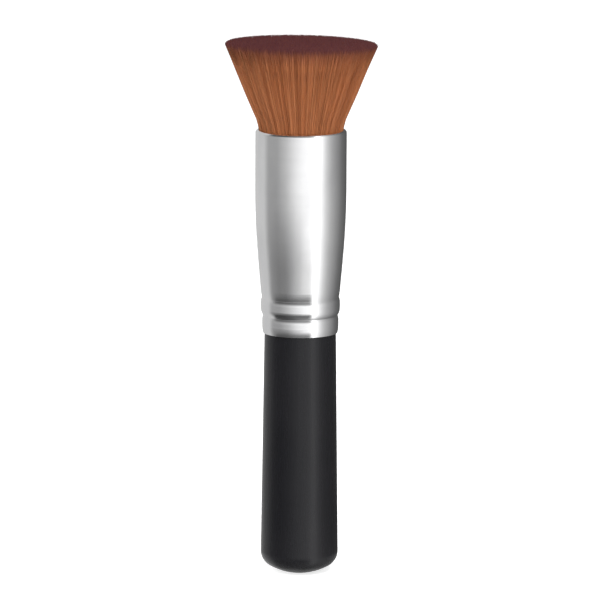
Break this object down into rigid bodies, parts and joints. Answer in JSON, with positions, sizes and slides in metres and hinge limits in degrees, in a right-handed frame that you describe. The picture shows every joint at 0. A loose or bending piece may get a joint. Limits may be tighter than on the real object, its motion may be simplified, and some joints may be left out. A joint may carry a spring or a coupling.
{
  "type": "blush brush",
  "caption": "Round flat-top face brush: dense flared tuft of dyed filaments in a long tapered metal ferrule with rolled crimps, on a short domed lacquered handle.",
  "frame": {"origin": "centre of the small flat at the handle's free end", "axes": "+Z along the brush's axis, from the handle towards the tuft; X and Y are square to it and alike, because the brush is round"},
  "size_m": [0.0398, 0.0398, 0.141],
  "materials": {
    "handle_lacquer": "turned wood with satin black lacquer",
    "ferrule_metal": "satin-bright drawn aluminium",
    "filament": "dense fine synthetic filaments with dark dyed tips",
    "thread": "waxed binding thread",
    "root_glue": "cured amber resin",
    "tenon_glue": "cured off-white glue"
  },
  "bodies": {
    "root": {"handle": "handle_lacquer", "ferrule": "ferrule_metal", "bristle_tuft": "filament", "root_binding": "thread", "root_adhesive": "root_glue", "tenon_adhesive": "tenon_glue"}
  },
  "joints": []
}
